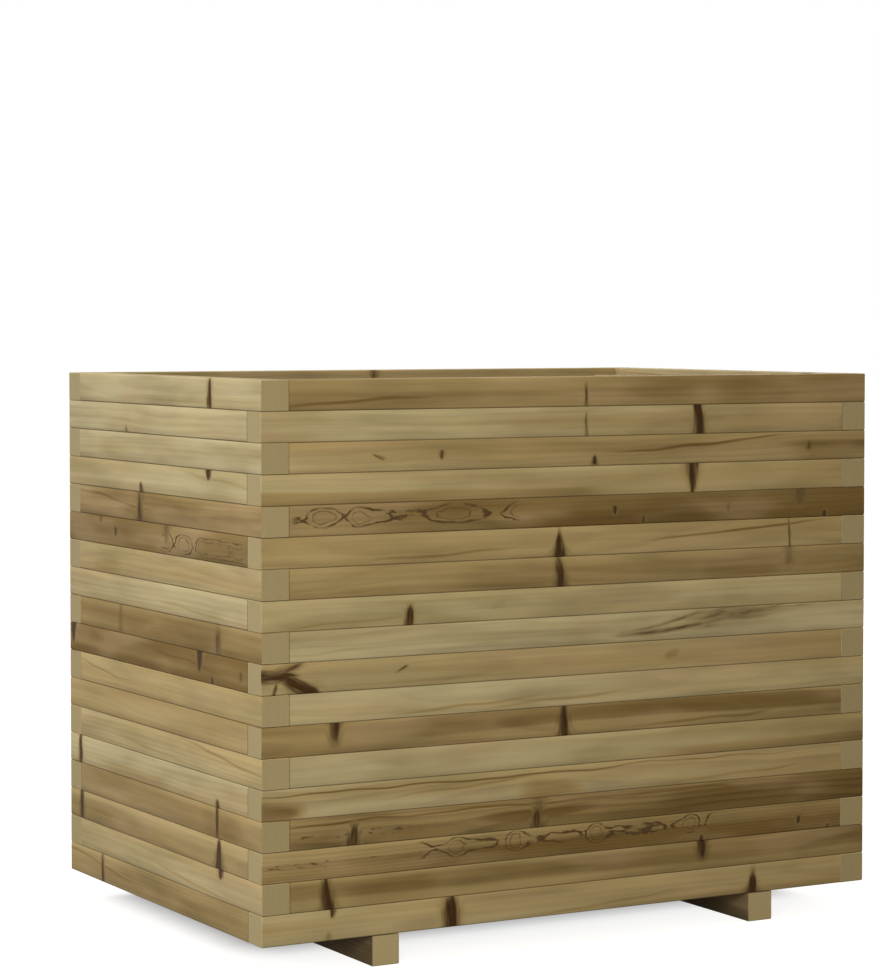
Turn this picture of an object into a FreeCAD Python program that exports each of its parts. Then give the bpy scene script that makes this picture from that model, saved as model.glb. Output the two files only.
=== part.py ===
"""Raised garden bed: square timber laths stacked on two skids, open at the top.

Frame: millimetres, +Z up, the origin on the ground under the middle of the bed.
X runs along the length, Y across the width, and the front face looks towards -Y.

Each course is a ring of four laths laid as a pinwheel: every lath runs past one corner and
butts against its neighbour at the other. The next course turns the other way, so long faces
and end grain alternate up every corner. Each wall is a panel, nailed to two uprights inside.
The panels are screwed together upright to upright, stand on the skids and hold a slatted floor.
"""
import FreeCAD
import Part
import Sketcher
import math
import os

DRIVING_SIZES = [
    ("overall_length", 900, "outside length along X"),
    ("overall_width", 600, "outside width along Y"),
    ("course_count", 18, "courses of laths from the skids to the rim"),
    ("lath_height", 38, "height of one course"),
    ("lath_thickness", 38, "thickness of the walls"),
    ("lath_arris", 1.5, "eased long edges of laths, battens and skids"),
    ("butt_gap", 0.5, "gap where the end of a lath meets the side of its neighbour"),
    ("upright_size", 38, "square section of the posts and battens inside"),
    ("upright_drop", 10, "top of the uprights below the rim"),
    ("skid_width", 38, "skid along X"),
    ("skid_height", 38, "skid from the ground to the underside of the walls"),
    ("skid_inset", 150, "end of the bed to the outer side of a skid"),
    ("full_board_count", 3, "floor boards of full width about the middle line"),
    ("board_width", 70, "full floor board across the bed"),
    ("board_thickness", 18, "floor board, upright"),
    ("board_gap", 6, "gap between floor boards, for drainage; half of it beside a wall or upright"),
    ("board_end_gap", 2, "floor board end to the wall or upright that it faces"),
    ("brad_width", 2.2, "brad wire, wide side"),
    ("brad_depth", 1.8, "brad wire, narrow side"),
    ("wall_brad_length", 60, "brads through an upright into a lath"),
    ("floor_brad_length", 45, "brads through a floor board into a skid"),
    ("skid_brad_length", 60, "brads up through a skid into the lowest long lath"),
    ("screw_diameter", 6, "shank of the hexagon-head wood screws"),
    ("screw_length", 60, "under the head to the end"),
    ("screw_head_width", 10, "hexagon head across its flats"),
    ("screw_head_height", 4, "hexagon head, proud of the batten"),
    ("screw_clearance", 0.2, "room round the shank in the batten that is clamped"),
    ("pilot_clearance", 0.05, "room round the shank in the post that it bites into"),
    ("screw_first_seam", 5, "first panel screw, in courses above the bottom of the wall"),
    ("screw_seam_step", 8, "courses from one panel screw to the next"),
]

doc = FreeCAD.newDocument("RaisedGardenBed")
sheet = doc.addObject("Spreadsheet::Sheet", "Sizes")
for row, (alias, value, meaning) in enumerate(DRIVING_SIZES, start=1):
    sheet.set(f"A{row}", meaning)
    sheet.set(f"B{row}", str(value))
    sheet.setAlias(f"B{row}", alias)
doc.recompute()

# Lines and planes that several pieces share, as formulas on the driving sizes
OUTER_X = "Sizes.overall_length / 2"
OUTER_Y = "Sizes.overall_width / 2"
INNER_X = "(Sizes.overall_length / 2 - Sizes.lath_thickness)"
INNER_Y = "(Sizes.overall_width / 2 - Sizes.lath_thickness)"
MID_LATH = "Sizes.lath_height / 2"
WALL_HEIGHT = "Sizes.course_count * Sizes.lath_height"
UPRIGHT_X = f"({INNER_X} - Sizes.upright_size / 2)"
BATTEN_FACE_X = f"({INNER_X} - Sizes.upright_size)"
POST_FACE_Y = f"({INNER_Y} - Sizes.upright_size)"
BATTEN_FACE_Y = f"({INNER_Y} - 2 * Sizes.upright_size)"
BATTEN_Y = f"({INNER_Y} - 1.5 * Sizes.upright_size)"
SKID_X = f"({OUTER_X} - Sizes.skid_inset - Sizes.skid_width / 2)"
SKID_BRAD_Y = f"({OUTER_Y} - Sizes.lath_thickness / 2)"
BRAD_LOW_Z = f"({MID_LATH} - Sizes.brad_depth / 2)"
WALL_BRAD_LOW_Z = f"Sizes.skid_height + {BRAD_LOW_Z}"
POST_BRAD_X = f"-{UPRIGHT_X} - Sizes.brad_width / 2"
BATTEN_BRAD_Y = f"-{BATTEN_Y} - Sizes.brad_width / 2"
SKID_BRAD_X = f"-{SKID_X} - Sizes.brad_width / 2"
WALL_BITE = "(Sizes.wall_brad_length - Sizes.upright_size)"
PANEL_SCREW_COUNT = "floor((Sizes.course_count - 1 - Sizes.screw_first_seam) / Sizes.screw_seam_step) + 1"
PANEL_SCREW_STEP = "Sizes.screw_seam_step * Sizes.lath_height"
PANEL_SCREW_Z = "Sizes.skid_height + Sizes.screw_first_seam * Sizes.lath_height"
BOARD_PITCH = "(Sizes.board_width + Sizes.board_gap)"
FULL_BOARDS_Y = f"(Sizes.full_board_count * {BOARD_PITCH} / 2)"
CLOSING_BOARD_Y = f"(({BATTEN_FACE_Y} + {FULL_BOARDS_Y}) / 2)"
CLOSING_BOARD_WIDTH = f"({BATTEN_FACE_Y} - {FULL_BOARDS_Y} - Sizes.board_gap)"
EDGE_BOARD_WIDTH = "(2 * Sizes.upright_size - Sizes.board_gap)"


def origin_feature(body, role):
    """Plane or axis of a body's own origin."""
    return next(feature for feature in body.Origin.OriginFeatures if feature.Role == role)


def new_body(name):
    return doc.addObject("PartDesign::Body", name)


def sketch_on(body, name, role, offset):
    """Sketch on an origin plane, moved by three formulas: right, up and out of the plane."""
    sketch = body.newObject("Sketcher::SketchObject", name)
    sketch.AttachmentSupport = [(origin_feature(body, role), "")]
    sketch.MapMode = "FlatFace"
    for axis, formula in zip("xyz", offset):
        sketch.setExpression(f"AttachmentOffset.Base.{axis}", formula)
    return sketch


def bind(sketch, constraint, name, formula):
    """Add a sketch dimension and tie it to a formula."""
    sketch.renameConstraint(sketch.addConstraint(constraint), name)
    sketch.setExpression(f"Constraints.{name}", formula)


def rectangle_on(body, name, role, offset, width, height):
    """Rectangle with one corner on the sketch's own origin."""
    sketch = sketch_on(body, name, role, offset)
    corners = [FreeCAD.Vector(*xy) for xy in ((0, 0, 0), (1, 0, 0), (1, 1, 0), (0, 1, 0))]
    for start, end in zip(corners, corners[1:] + corners[:1]):
        sketch.addGeometry(Part.LineSegment(start, end))
    for side in range(4):
        sketch.addConstraint(Sketcher.Constraint("Coincident", side, 2, (side + 1) % 4, 1))
        direction = "Horizontal" if side % 2 == 0 else "Vertical"
        sketch.addConstraint(Sketcher.Constraint(direction, side))
    sketch.addConstraint(Sketcher.Constraint("Coincident", 0, 1, -1, 1))
    bind(sketch, Sketcher.Constraint("DistanceX", 0, 1, 0, 2, 1), "across", width)
    bind(sketch, Sketcher.Constraint("DistanceY", 1, 1, 1, 2, 1), "upright", height)
    return sketch


def circle_on(body, name, role, offset, diameter, construction=False):
    """Circle about the sketch's own origin."""
    sketch = sketch_on(body, name, role, offset)
    circle = Part.Circle(FreeCAD.Vector(0, 0, 0), FreeCAD.Vector(0, 0, 1), 1)
    sketch.addGeometry(circle, construction)
    sketch.addConstraint(Sketcher.Constraint("Coincident", 0, 3, -1, 1))
    bind(sketch, Sketcher.Constraint("Diameter", 0, 2), "bore", diameter)
    return sketch


def hexagon_on(body, name, role, offset, across_flats):
    """Regular hexagon in a construction circle, with one corner on the sketch's own X axis."""
    sketch = circle_on(body, name, role, offset, f"2 * {across_flats} / sqrt(3)", construction=True)
    corners = [FreeCAD.Vector(math.cos(math.radians(60 * turn)), math.sin(math.radians(60 * turn)), 0)
               for turn in range(6)]
    sides = [sketch.addGeometry(Part.LineSegment(corners[turn - 1], corners[turn])) for turn in range(6)]
    for before, side in zip(sides[-1:] + sides[:-1], sides):
        sketch.addConstraint(Sketcher.Constraint("Coincident", before, 2, side, 1))
        sketch.addConstraint(Sketcher.Constraint("PointOnObject", side, 1, 0))
    for side in sides[1:]:
        sketch.addConstraint(Sketcher.Constraint("Equal", sides[0], side))
    sketch.addConstraint(Sketcher.Constraint("PointOnObject", sides[0], 2, -1))
    return sketch


def add_pad(body, sketch, length):
    pad = body.newObject("PartDesign::Pad", f"{sketch.Name}Pad")
    pad.Profile = sketch
    pad.setExpression("Length", length)
    doc.recompute()
    return pad


def ease_edges(body, axis):
    """Chamfer the edges of the body's tip that run along one axis."""
    tip = body.Tip
    names = []
    for number, edge in enumerate(tip.Shape.Edges, start=1):
        if round(abs(getattr(edge.tangentAt(edge.FirstParameter), axis))) == 1:
            names.append(f"Edge{number}")
    chamfer = body.newObject("PartDesign::Chamfer", f"{body.Name}Arris")
    chamfer.Base = (tip, names)
    chamfer.setExpression("Size", "Sizes.lath_arris")
    doc.recompute()


def require_cut(body, before, name):
    if body.Shape.Volume >= before:
        raise RuntimeError(f"{name} cuts nothing out of {body.Name}")


# Spacing value of a pattern that keeps every step equal to its offset
EVEN_STEP = -1


def repeat(body, features, runs):
    """Repeat features along one or two axes; each run is an axis role, a count and a step."""
    pattern = body.newObject("PartDesign::LinearPattern", f"{features[0].Name}Row")
    pattern.Originals = features
    for suffix, (role, count, step) in zip(("", "2"), runs):
        setattr(pattern, f"Direction{suffix}", (origin_feature(body, role), [""]))
        setattr(pattern, f"Mode{suffix}", "Spacing")
        setattr(pattern, f"Spacings{suffix}", [EVEN_STEP])
        pattern.setExpression(f"Occurrences{suffix}", count)
        pattern.setExpression(f"Offset{suffix}", step)
    body.Tip = pattern
    doc.recompute()


def cut_pocket(body, sketch, depth, reverse, runs):
    """Cut a sketch to a depth and repeat the cut."""
    before = body.Shape.Volume
    pocket = body.newObject("PartDesign::Pocket", f"{sketch.Name}Pocket")
    pocket.Profile = sketch
    pocket.setExpression("Length", depth)
    pocket.Reversed = reverse
    doc.recompute()
    require_cut(body, before, pocket.Name)
    repeat(body, [pocket], runs)


def drill(body, name, role, offset, clearance, depth, runs):
    """Drill a screw hole at the sketch's own origin, along the plane's outward way, and repeat it."""
    bore = f"Sizes.screw_diameter + 2 * {clearance}"
    sketch = circle_on(body, name, role, offset, bore)
    doc.recompute()
    before = body.Shape.Volume
    hole = body.newObject("PartDesign::Hole", f"{name}Hole")
    hole.Profile = sketch
    hole.ThreadType = "None"
    hole.DrillPoint = "Flat"
    hole.DepthType = "Dimension"
    hole.Reversed = True
    hole.setExpression("Diameter", bore)
    hole.setExpression("Depth", depth)
    doc.recompute()
    require_cut(body, before, name)
    repeat(body, [hole], runs)


COURSE_ROW = [("Z_Axis", "Sizes.course_count", "Sizes.lath_height")]
PANEL_SCREW_ROW = [("Z_Axis", PANEL_SCREW_COUNT, PANEL_SCREW_STEP)]
SKID_ROW = [("X_Axis", "2", f"2 * {SKID_X}")]


def make_long_lath():
    """Front lath of an odd course, counted from the rim, with its underside at z = 0.

    It butts at the left corner, runs past the right one and takes a brad from each post.
    """
    lath = new_body("LongLath")
    start = f"-{INNER_X} + Sizes.butt_gap"
    section = rectangle_on(
        lath, "LongLathSection", "YZ_Plane", (f"-{OUTER_Y}", "0", start),
        "Sizes.lath_thickness", "Sizes.lath_height")
    add_pad(lath, section, f"{OUTER_X} - ({start})")
    ease_edges(lath, "x")
    slot = rectangle_on(
        lath, "LongLathSlot", "XZ_Plane",
        (POST_BRAD_X, BRAD_LOW_Z, INNER_Y), "Sizes.brad_width", "Sizes.brad_depth")
    cut_pocket(lath, slot, WALL_BITE, True, [("X_Axis", "2", f"2 * {UPRIGHT_X}")])
    return lath


def make_end_lath():
    """Left lath of an odd course: past the front corner, butted at the back one."""
    lath = new_body("EndLath")
    length = f"{OUTER_Y} + {INNER_Y} - Sizes.butt_gap"
    section = rectangle_on(
        lath, "EndLathSection", "XZ_Plane", (f"-{OUTER_X}", "0", f"-{INNER_Y} + Sizes.butt_gap"),
        "Sizes.lath_thickness", "Sizes.lath_height")
    add_pad(lath, section, length)
    ease_edges(lath, "y")
    slot = rectangle_on(
        lath, "EndLathSlot", "YZ_Plane",
        (BATTEN_BRAD_Y, BRAD_LOW_Z, f"-{INNER_X}"), "Sizes.brad_width", "Sizes.brad_depth")
    cut_pocket(lath, slot, WALL_BITE, False, [("Y_Axis", "2", f"2 * {BATTEN_Y}")])
    return lath


def make_upright(name, outer_y):
    """Square upright at the left end of the front wall, its outer side at y = -outer_y."""
    upright = new_body(name)
    section = rectangle_on(
        upright, f"{name}Section", "XY_Plane", (f"-{INNER_X}", f"-{outer_y}", "Sizes.skid_height"),
        "Sizes.upright_size", "Sizes.upright_size")
    add_pad(upright, section, f"{WALL_HEIGHT} - Sizes.upright_drop")
    return upright


def make_post():
    """Sawn corner post of a long wall: brads go through it along Y, panel screws bite into it."""
    post = make_upright("Post", INNER_Y)
    slot = rectangle_on(
        post, "PostSlot", "XZ_Plane", (POST_BRAD_X, WALL_BRAD_LOW_Z, POST_FACE_Y),
        "Sizes.brad_width", "Sizes.brad_depth")
    cut_pocket(post, slot, "Sizes.upright_size", True, COURSE_ROW)
    drill(
        post, "PostPilot", "XZ_Plane", (f"-{UPRIGHT_X}", PANEL_SCREW_Z, POST_FACE_Y),
        "Sizes.pilot_clearance", "Sizes.screw_length - Sizes.upright_size", PANEL_SCREW_ROW)
    return post


def make_batten():
    """End wall's upright beside the post: brads along X, panel screws along Y into the post."""
    batten = make_upright("Batten", POST_FACE_Y)
    ease_edges(batten, "z")
    slot = rectangle_on(
        batten, "BattenSlot", "YZ_Plane", (BATTEN_BRAD_Y, WALL_BRAD_LOW_Z, f"-{BATTEN_FACE_X}"),
        "Sizes.brad_width", "Sizes.brad_depth")
    cut_pocket(batten, slot, "Sizes.upright_size", False, COURSE_ROW)
    drill(
        batten, "BattenBore", "XZ_Plane", (f"-{UPRIGHT_X}", PANEL_SCREW_Z, BATTEN_FACE_Y),
        "Sizes.screw_clearance", "Sizes.upright_size", PANEL_SCREW_ROW)
    return batten


def make_skid():
    """Left skid, across the whole width under the front and back walls."""
    skid = new_body("Skid")
    section = rectangle_on(
        skid, "SkidSection", "XZ_Plane", (f"-{SKID_X} - Sizes.skid_width / 2", "0", f"-{OUTER_Y}"),
        "Sizes.skid_width", "Sizes.skid_height")
    add_pad(skid, section, "Sizes.overall_width")
    ease_edges(skid, "y")
    return skid


def make_board(name, width, end_x):
    """Floor board along the middle line of the bed, with two brads into each skid."""
    board = new_body(name)
    outline = rectangle_on(
        board, f"{name}Outline", "XY_Plane",
        (f"-{end_x} + Sizes.board_end_gap", f"-{width} / 2", "Sizes.skid_height"),
        f"2 * {end_x} - 2 * Sizes.board_end_gap", width)
    add_pad(board, outline, "Sizes.board_thickness")
    slot = rectangle_on(
        board, f"{name}Slot", "XY_Plane",
        (SKID_BRAD_X, f"-{width} / 4 - Sizes.brad_depth / 2", "Sizes.skid_height + Sizes.board_thickness"),
        "Sizes.brad_width", "Sizes.brad_depth")
    cut_pocket(
        board, slot, "Sizes.board_thickness", False, SKID_ROW + [("Y_Axis", "2", f"{width} / 2")])
    return board


def make_brads(name, role, offset, length, runs):
    """Brads of flat wire along a plane's outward way, repeated."""
    brads = new_body(name)
    wire = rectangle_on(brads, f"{name}Wire", role, offset, "Sizes.brad_width", "Sizes.brad_depth")
    repeat(brads, [add_pad(brads, wire, length)], runs)
    return brads


def make_panel_screws():
    """Hexagon-head wood screws from the batten of the left wall into the front-left post."""
    screws = new_body("PanelScrews")
    head = hexagon_on(
        screws, "PanelScrewHead", "XZ_Plane",
        (f"-{UPRIGHT_X}", PANEL_SCREW_Z, f"{BATTEN_FACE_Y} - Sizes.screw_head_height"),
        "Sizes.screw_head_width")
    head_pad = add_pad(screws, head, "Sizes.screw_head_height")
    shank = circle_on(
        screws, "PanelScrewShank", "XZ_Plane", (f"-{UPRIGHT_X}", PANEL_SCREW_Z, BATTEN_FACE_Y),
        "Sizes.screw_diameter")
    shank_pad = add_pad(screws, shank, "Sizes.screw_length")
    repeat(screws, [head_pad, shank_pad], PANEL_SCREW_ROW)
    return screws


# Turns that carry the front and left pieces to the other walls, or a lath to the next course
QUARTER_NAMES = ("front_left", "front_right", "back_right", "back_left")
HALF_TURN = {axis: FreeCAD.Rotation(FreeCAD.Vector(*way), 180)
             for axis, way in {"x": (1, 0, 0), "y": (0, 1, 0), "z": (0, 0, 1)}.items()}


def copy_of(source, name, turn=None, shifts=()):
    """Copy of a piece, turned about the origin and then shifted by formulas."""
    copy = doc.addObject("App::Link", name)
    copy.LinkedObject = source
    copy.Placement = FreeCAD.Placement(FreeCAD.Vector(), turn or FreeCAD.Rotation())
    for axis, formula in shifts:
        copy.setExpression(f"Placement.Base.{axis}", formula)
    return copy


def corner_copies(source):
    """The same piece at the four corners, in the order of QUARTER_NAMES."""
    across = f"2 * {UPRIGHT_X}"
    return [
        copy_of(source, f"{source.Name}FrontLeft"),
        copy_of(source, f"{source.Name}FrontRight", shifts=[("x", across)]),
        copy_of(source, f"{source.Name}BackRight", HALF_TURN["z"]),
        copy_of(source, f"{source.Name}BackLeft", HALF_TURN["z"], [("x", f"-{across}")]),
    ]


nodes = []


def name_node(piece, label):
    """Keep a piece as a sub-part under its own name."""
    piece.Label = label
    nodes.append(piece)


def group(pieces, name, lift=None):
    """Separate solids held as one sub-part, lifted by a formula."""
    held = doc.addObject("Part::Compound", name)
    held.Links = pieces
    if lift:
        held.setExpression("Placement.Base.z", lift)
    return held


def slotted(piece, brads):
    """Piece with the slots that brads make when they are driven into it."""
    cut = doc.addObject("Part::Cut", f"{piece.Name}Slotted")
    cut.Base = piece
    cut.Tool = brads
    return cut


def lath_pair(lath, along, across, odd_course):
    """The two opposite laths of one course. The next course turns them over, end for end."""
    if odd_course:
        return [copy_of(lath, f"{lath.Name}Odd"), copy_of(lath, f"{lath.Name}OddFar", HALF_TURN["z"])]
    lift = [("z", "Sizes.lath_height")]
    return [
        copy_of(lath, f"{lath.Name}Even", HALF_TURN[across], lift),
        copy_of(lath, f"{lath.Name}EvenFar", HALF_TURN[along], lift),
    ]


# Floor: full boards about the middle line, a closing board on each side ripped to reach the battens,
# and an edge board between the uprights of each long wall
full_count = int(sheet.full_board_count)
full_places = {str(number + 2): f"({number} - (Sizes.full_board_count - 1) / 2) * {BOARD_PITCH}"
               for number in range(full_count)}
closing_places = {"1": f"-{CLOSING_BOARD_Y}", str(full_count + 2): CLOSING_BOARD_Y}
edge_places = {"front": f"-{POST_FACE_Y}", "back": POST_FACE_Y}
base_brads = []
for name, width, end_x, places in (
        ("EdgeBoard", EDGE_BOARD_WIDTH, BATTEN_FACE_X, edge_places),
        ("ClosingBoard", CLOSING_BOARD_WIDTH, INNER_X, closing_places),
        ("FullBoard", "Sizes.board_width", INNER_X, full_places)):
    board = make_board(name, width, end_x)
    brads = make_brads(
        f"{name}Brads", "XY_Plane",
        (SKID_BRAD_X, f"-{width} / 4 - Sizes.brad_depth / 2",
         "Sizes.skid_height + Sizes.board_thickness - Sizes.floor_brad_length"),
        "Sizes.floor_brad_length", SKID_ROW + [("Y_Axis", "2", f"{width} / 2")])
    for place, y in places.items():
        name_node(group([copy_of(board, f"{name}At", shifts=[("y", y)])], "Floor"), f"floor_board_{place}")
        base_brads.append(copy_of(brads, f"{name}BradsAt", shifts=[("y", y)]))

# Brads up through the skids into the lowest laths join the base to the front and back walls
base_brads.append(make_brads(
    "SkidBrads", "XY_Plane", (SKID_BRAD_X, f"-{SKID_BRAD_Y} - Sizes.brad_depth / 2", "0"),
    "Sizes.skid_brad_length", SKID_ROW + [("Y_Axis", "2", f"2 * {SKID_BRAD_Y}")]))
base_brad_group = group(base_brads, "BaseBrads")
name_node(base_brad_group, "base_brads")

skid = make_skid()
name_node(slotted(copy_of(skid, "SkidLeft"), base_brad_group), "skid_left")
name_node(slotted(copy_of(skid, "SkidRight", HALF_TURN["z"]), base_brad_group), "skid_right")

# Walls: one long pair and one end pair of laths in each course, the lowest course first
course_count = int(sheet.course_count)
long_lath = make_long_lath()
end_lath = make_end_lath()
long_pairs = {odd: lath_pair(long_lath, "x", "y", odd) for odd in (True, False)}
end_pairs = {odd: lath_pair(end_lath, "y", "x", odd) for odd in (True, False)}
for course in range(1, course_count + 1):
    odd_from_rim = (course_count - course) % 2 == 0
    lift = f"Sizes.skid_height + {course - 1} * Sizes.lath_height"
    long_laths = group(long_pairs[odd_from_rim], "LongLaths", lift)
    if course == 1:
        long_laths = slotted(long_laths, base_brad_group)
    name_node(long_laths, f"long_laths_{course:02d}")
    name_node(group(end_pairs[odd_from_rim], "EndLaths", lift), f"end_laths_{course:02d}")

# Uprights inside: a post and a batten in each corner, and what fixes them
for upright, piece in (("post", make_post()), ("batten", make_batten())):
    for quarter, copy in zip(QUARTER_NAMES, corner_copies(piece)):
        name_node(group([copy], "Upright"), f"{upright}_{quarter}")
post_brads = make_brads(
    "PostBrads", "XZ_Plane", (POST_BRAD_X, WALL_BRAD_LOW_Z, POST_FACE_Y),
    "Sizes.wall_brad_length", COURSE_ROW)
batten_brads = make_brads(
    "BattenBrads", "YZ_Plane",
    (BATTEN_BRAD_Y, WALL_BRAD_LOW_Z, f"-{BATTEN_FACE_X} - Sizes.wall_brad_length"),
    "Sizes.wall_brad_length", COURSE_ROW)
name_node(group(corner_copies(post_brads), "LongWallBrads"), "long_wall_brads")
name_node(group(corner_copies(batten_brads), "EndWallBrads"), "end_wall_brads")
name_node(group(corner_copies(make_panel_screws()), "PanelScrewGroup"), "panel_screws")

doc.recompute()
for item in doc.Objects:
    if "Invalid" in item.State or "Error" in item.State:
        raise RuntimeError(f"{item.Label} failed: {item.State}")
for node in nodes:
    if node.Shape.isNull() or not node.Shape.isValid():
        raise RuntimeError(f"{node.Label} has no valid shape")

os.makedirs("parts", exist_ok=True)
for node in nodes:
    node.Shape.exportStep(f"parts/{node.Label}.step")
print(f"{len(nodes)} sub-parts, {sum(len(node.Shape.Solids) for node in nodes)} solids")
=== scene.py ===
"""Raised garden bed: square pine laths stacked on two skids, open at the top."""
import math
import random

import bmesh
import bpy
from mathutils import Matrix, Vector


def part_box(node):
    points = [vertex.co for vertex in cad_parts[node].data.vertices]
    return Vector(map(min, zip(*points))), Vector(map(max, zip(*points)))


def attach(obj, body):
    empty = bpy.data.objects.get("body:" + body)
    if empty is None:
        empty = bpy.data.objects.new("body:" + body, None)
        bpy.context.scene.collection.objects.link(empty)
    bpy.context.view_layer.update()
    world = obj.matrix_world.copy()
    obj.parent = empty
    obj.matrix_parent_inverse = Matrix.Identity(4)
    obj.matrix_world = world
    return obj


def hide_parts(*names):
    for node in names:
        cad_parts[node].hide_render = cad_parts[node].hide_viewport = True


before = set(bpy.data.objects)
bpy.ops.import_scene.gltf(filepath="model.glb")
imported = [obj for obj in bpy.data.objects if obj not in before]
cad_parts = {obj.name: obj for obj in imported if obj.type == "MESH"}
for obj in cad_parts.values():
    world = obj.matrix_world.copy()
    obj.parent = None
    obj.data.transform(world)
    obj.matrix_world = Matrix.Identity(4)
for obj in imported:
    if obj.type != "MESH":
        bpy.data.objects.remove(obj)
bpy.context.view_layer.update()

# Skids: two square lengths of planed pine under the bed, from the front face to the back one.
# The walls and the floor stand on them. Like all the bed's timber they are pressure-treated, which turns pine
# olive and honey brown, and each has its own marks: where its rings centre, how brown it is, and its knots.
MM = 0.001
X, Y, Z = 0, 1, 2
FAR_AWAY, TINY = 9.0, 1 * MM
KNOTS_PER_TIMBER = 6
NO_KNOT = ((FAR_AWAY, 0.0, 0.0), (TINY, TINY, 0.0), 0.0)
NOWHERE = (FAR_AWAY, TINY, 0.0)
EVERYWHERE = (-FAR_AWAY, FAR_AWAY, 0.0)
# Limits between which chance sets a timber's marks
PITH_UP, PITH_DEEP, SEED = (-20 * MM, 60 * MM), (30 * MM, 110 * MM), (1.0, 40.0)
BROWN_CHANGE, LIGHTNESS = (-0.05, 0.05), (0.97, 1.03)
RINGS, STREAKS, STAINS = (0.3, 1.3), (0.6, 1.3), (0.2, 1.0)


def timber_marks(rng, brown, drift=0.0, heart=NOWHERE, reach=EVERYWHERE, figure=NOWHERE, flecks=NOWHERE,
                 rings=None, knots=()):
    """Marks that stay with one timber, as named vectors, with lengths in metres.

    pith: its place up and into the timber, and a seed. shade: how brown, its drift along, and lightness.
    heart: a brown band's height, half width and strength. reach: the band's start, end and slope.
    figure, flecks: a stretch's middle, half length and height. grain: strength of rings, streaks and stains.
    A knot has a spot (along, up, angle), a form (half length, half width, taper) and a depth.
    """
    marks = {
        "pith": (rng.uniform(*PITH_UP), rng.uniform(*PITH_DEEP), rng.uniform(*SEED)),
        "shade": (brown + rng.uniform(*BROWN_CHANGE), drift, rng.uniform(*LIGHTNESS)),
        "heart": heart,
        "reach": reach,
        "figure": figure,
        "flecks": flecks,
    }
    usual_rings, streaks, stains = (rng.uniform(*limits) for limits in (RINGS, STREAKS, STAINS))
    marks["grain"] = (rings or usual_rings, streaks, stains)
    knots = [*knots, *[NO_KNOT] * (KNOTS_PER_TIMBER - len(knots))]
    for number, (spot, form, _) in enumerate(knots):
        marks[f"knot_{number}_spot"] = spot
        marks[f"knot_{number}_form"] = form
    depths = [depth for _, _, depth in knots]
    half = KNOTS_PER_TIMBER // 2
    marks["first_depths"] = tuple(depths[:half])
    marks["last_depths"] = tuple(depths[half:])
    return marks


def add_block(bm, low, high):
    """Add a plain box between two corners and return its vertices."""
    verts = bmesh.ops.create_cube(bm, size=1)["verts"]
    low, high = Vector(low), Vector(high)
    bmesh.ops.scale(bm, vec=high - low, verts=verts)
    bmesh.ops.translate(bm, vec=(low + high) / 2, verts=verts)
    return verts


def round_edges(bm, edges, offset, segments):
    """Round some edges, or chamfer them with a single segment."""
    bmesh.ops.bevel(bm, geom=list(edges), offset=offset, affect="EDGES", segments=segments, profile=0.5,
                    material=-1)


ARRIS_SEGMENTS = 3
SAWN_EDGE = 0.8 * MM
SQUARE_ON, SQUARE_TO_AN_AXIS = 0.9, 0.98
BUTT_JOINT_PAINTED_SHADE = -1.0


def add_timber(bm, low, high, grain, up, marks, arris, outer_high=False, tight_end=None):
    """Add a squared timber with eased long edges, sawn ends and its marks, its grain along one axis.

    Its figure shows on the sides that run up another axis, and its depth counts from the low side or from an
    outer high one. An end that butts against a neighbour is the tight one, which takes a painted shade in the
    joint.
    """
    before = set(bm.verts)
    corners = add_block(bm, low, high)
    low, high = Vector(low), Vector(high)
    edges = {edge for vert in corners for edge in vert.link_edges}
    length = (high - low)[grain]
    long_edges = [edge for edge in edges
                  if math.isclose(abs((edge.verts[1].co - edge.verts[0].co)[grain]), length, rel_tol=1e-4)]
    round_edges(bm, long_edges, arris, ARRIS_SEGMENTS)
    made = [vert for vert in bm.verts if vert not in before]
    faces = {face for vert in made for face in vert.link_faces}
    bm.normal_update()
    ends = [face for face in faces if abs(face.normal[grain]) > SQUARE_ON]
    round_edges(bm, {edge for face in ends for edge in face.edges}, SAWN_EDGE, 1)

    deep = ({X, Y, Z} - {grain, up}).pop()
    layers = {name: bm.verts.layers.float_vector.get(name) or bm.verts.layers.float_vector.new(name)
              for name in ("place", *marks)}
    end_layer = bm.faces.layers.float.get("end_grain") or bm.faces.layers.float.new("end_grain")
    arris_layer = bm.faces.layers.float.get("arris") or bm.faces.layers.float.new("arris")
    made = [vert for vert in bm.verts if vert not in before]
    for vert in made:
        depth = high[deep] - vert.co[deep] if outer_high else vert.co[deep] - low[deep]
        vert[layers["place"]] = (vert.co[grain], vert.co[up] - low[up], depth)
        for name, value in marks.items():
            vert[layers[name]] = value
    bm.normal_update()
    # Each eased edge keeps how far it tilts up, for painted shade on the downward ones and a painted
    # highlight on the upward ones
    for face in {face for vert in made for face in vert.link_faces}:
        face[end_layer] = 1.0 if abs(face.normal[grain]) > SQUARE_ON else 0.0
        tilted = max(abs(part) for part in face.normal) < SQUARE_TO_AN_AXIS
        face[arris_layer] = face.normal[Z] if tilted else 0.0
        # The tight end's faces count as facing straight down, which gives them full painted shade in the
        # joint
        if tight_end is not None and abs(face.calc_center_median()[grain] - tight_end) < SAWN_EDGE:
            face[arris_layer] = BUTT_JOINT_PAINTED_SHADE


def finish_piece(bm, name, material, slot, *nodes):
    """Turn a mesh into a piece that rides on the bed in place of its sub-parts."""
    mesh = bpy.data.meshes.new(name)
    bm.to_mesh(mesh)
    bm.free()
    mesh.materials.append(material)
    piece = bpy.data.objects.new(name, mesh)
    bpy.context.scene.collection.objects.link(piece)
    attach(piece, "root")
    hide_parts(*nodes)


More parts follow.
